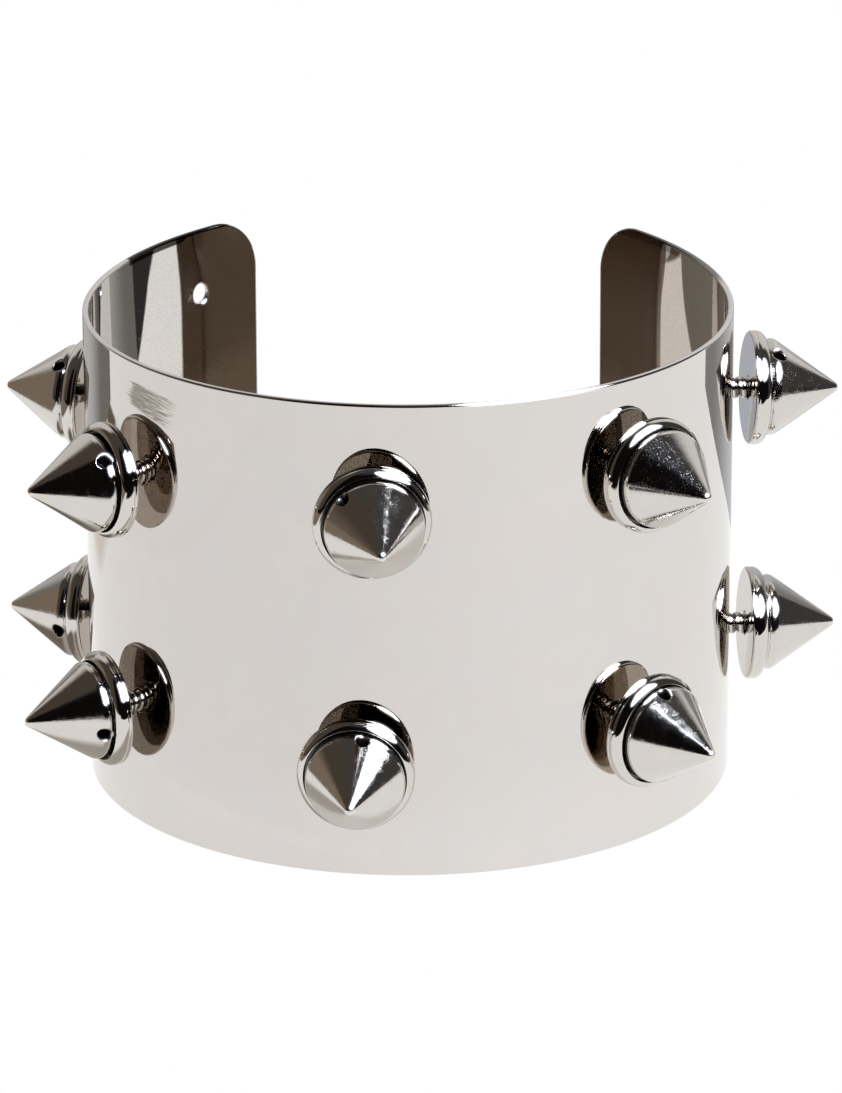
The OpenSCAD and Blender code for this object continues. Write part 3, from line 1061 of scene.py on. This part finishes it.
lights = [(name, "NodeSocketColor") for name in lights]
table_light, given, result = shader_group("table_light", [("Place", None)], lights)
x, y, z = parts_of(given["Place"])
sheet_side = zoned(x, y, WHITE, SHEET_ZONES)
stud_side = zoned(x, y, WHITE, STUD_ZONES)
# Painted shadows of the cuff on the table: a ring on its front left, a patch under the left wing
# and the floor inside it.
painted_shadow_ring = round_mask(x, y, (-0.005, -0.002), (0.038, 0.036), 0.12)
painted_shadow_ring = times(painted_shadow_ring, ramp(x, -0.01, 0.01, 1.0, 0.0))
stud_side = blend(painted_shadow_ring, stud_side, (0.45, 0.42, 0.38))
painted_shadow_under_wing = round_mask(x, y, (-0.046, 0.003), (0.008, 0.02), 0.7)
stud_side = blend(painted_shadow_under_wing, stud_side, (0.20, 0.17, 0.14))
in_cuff = round_mask(x, y, (0.0, 0.0015), (0.0315, 0.0332), 0.012)
sheet_side = blend(in_cuff, sheet_side, SHADE_IN_CUFF)
stud_side = blend(in_cuff, stud_side, SHADE_IN_CUFF)
least = blend(1.0, sheet_side, stud_side, "DARKEN")
feed(result["For all"], least)
feed(result["More for the sheet"], blend(1.0, sheet_side, least, "SUBTRACT"))
feed(result["More for the studs"], blend(1.0, stud_side, least, "SUBTRACT"))


def stage_sheet(name, corners):
    """A flat sheet of the studio with a material of its own: the object, the material's
    tree, the place on it and the output."""
    mesh = bpy.data.meshes.new(name)
    mesh.from_pydata(corners, [], [(0, 1, 2, 3)])
    made = bpy.data.objects.new(name, mesh)
    scene.collection.objects.link(made)
    material = bpy.data.materials.new(name)
    material.use_nodes = True
    mesh.materials.append(material)
    tree = material.node_tree
    tree.nodes.clear()
    place = node(tree, "ShaderNodeTexCoord", "place")
    out = node(tree, "ShaderNodeOutputMaterial", "out")
    return made, tree, place.outputs["Object"], out.inputs["Surface"]


def table_plane(name, half, height, output, objects=None):
    """A plane that shines with one output of the table's light. Where objects are given it
    is clear, shines on them alone and isn't seen by the camera."""
    turns = ((-1, -1), (1, -1), (1, 1), (-1, 1))
    corners = [(x * half, y * half, height) for x, y in turns]
    plane, tree, place, surface = stage_sheet(name, corners)
    light = use_group(table_light, Place=place)
    glow = node(tree, "ShaderNodeEmission", "glow")
    feed(glow.inputs["Color"], light[output])
    if objects:
        clear = node(tree, "ShaderNodeBsdfTransparent", "clear")
        both = node(tree, "ShaderNodeAddShader", "both")
        feed(both.inputs[0], glow.outputs[0])
        feed(both.inputs[1], clear.outputs[0])
        plane.visible_camera = False
        lit = bpy.data.collections.new("lit_by_" + name)
        for piece in objects:
            lit.objects.link(piece)
        plane.light_linking.receiver_collection = lit
    else:
        seen = node(tree, "ShaderNodeEmission", "seen by the camera")
        both = unlike_camera(tree, seen, glow)
    feed(surface, both.outputs[0])


# The table isn't lit: it glows with painted light and painted shadows. Two clear planes glow with
# more of that painted light, one seen only in the sheet, the other only in the studs.
table_plane("studio_table", 3.0, 0.0, "For all")
table_plane("sheet_painted_glow", 0.4, 0.00005, "More for the sheet", [cuff])
table_plane("stud_painted_glow", 0.4, 0.00008, "More for the studs", screws + cups + spikes)

CARD_BACK = 0.033


def side_card(name, corners, steps):
    """A card of painted light that glows grey beside the cuff, behind its centre, unseen by the
    camera. Corners are across and height, steps are the across and grey at which its shading
    begins and ends."""
    card, tree, place, surface = stage_sheet(name, [(x, CARD_BACK, z) for x, z in corners])
    card.visible_camera = False
    across = sums("ABSOLUTE", parts_of(place)[0])
    (start, start_grey), (end, end_grey) = steps
    glow = node(tree, "ShaderNodeEmission", "glow")
    shade = blend(ramp(across, start, end), start_grey, end_grey)
    feed(glow.inputs["Color"], shade)
    feed(surface, glow.outputs[0])


side_card(
    "right_card",
    [(0.0225, 0.0114), (0.0705, 0.0241), (0.0705, 0.046), (0.0225, 0.046)],
    [(0.034, (0.57, 0.585, 0.62)), (0.062, (0.255, 0.25, 0.245))],
)
side_card(
    "left_card",
    [(-0.105, 0.0115), (-0.045, 0.0150), (-0.045, 0.046), (-0.105, 0.046)],
    [(0.058, (0.50, 0.50, 0.49)), (0.084, (0.21, 0.195, 0.18))],
)
scene.cycles.max_bounces = 12
scene.cycles.glossy_bounces = 12
scene.cycles.transparent_max_bounces = 24

# Camera
# The photo was taken from the front, a little to the right and about twenty degrees above.
CAMERA_SPOT = Vector((76.74, -569.71, 228.16))
CAMERA_AIM = Vector((1.189, 0.158, 22.16))
CAMERA_ROLL = -0.168
lens = bpy.data.cameras.new("camera")
lens.lens = 201.72
lens.clip_start = 0.01
camera = bpy.data.objects.new("camera", lens)
scene.collection.objects.link(camera)
facing = (CAMERA_AIM - CAMERA_SPOT).to_track_quat("-Z", "Y").to_matrix().to_4x4()
roll = Matrix.Rotation(radians(CAMERA_ROLL), 4, "Z")
camera.matrix_world = Matrix.Translation(CAMERA_SPOT * MM) @ facing @ roll
scene.camera = camera
scene.view_settings.view_transform = "Standard"

# The highlights are far brighter than the photo's white, so they spread a little in the lens
BRIGHT = 1.3
SPREAD = 3
scene.use_nodes = True
tree = scene.node_tree
tree.nodes.clear()
layers = node(tree, "CompositorNodeRLayers", "picture")


def picture_mix(name, kind, first, second):
    """A mix of two pictures, or of a picture and a plain grey."""
    made = node(tree, "CompositorNodeMixRGB", name, blend_type=kind, use_clamp=False)
    feed(made.inputs[1], first)
    feed(made.inputs[2], second)
    return made.outputs[0]


picture = layers.outputs["Image"]
over = picture_mix("over white", "SUBTRACT", picture, (BRIGHT, BRIGHT, BRIGHT))
bright = picture_mix("highlights", "LIGHTEN", over, (0.0, 0.0, 0.0))
spread = node(tree, "CompositorNodeBlur", "spread", filter_type="GAUSS")
spread.size_x = spread.size_y = SPREAD
feed(spread.inputs["Image"], bright)
both = picture_mix("both", "ADD", picture, spread.outputs[0])
shown = node(tree, "CompositorNodeComposite", "shown")
feed(shown.inputs["Image"], both)
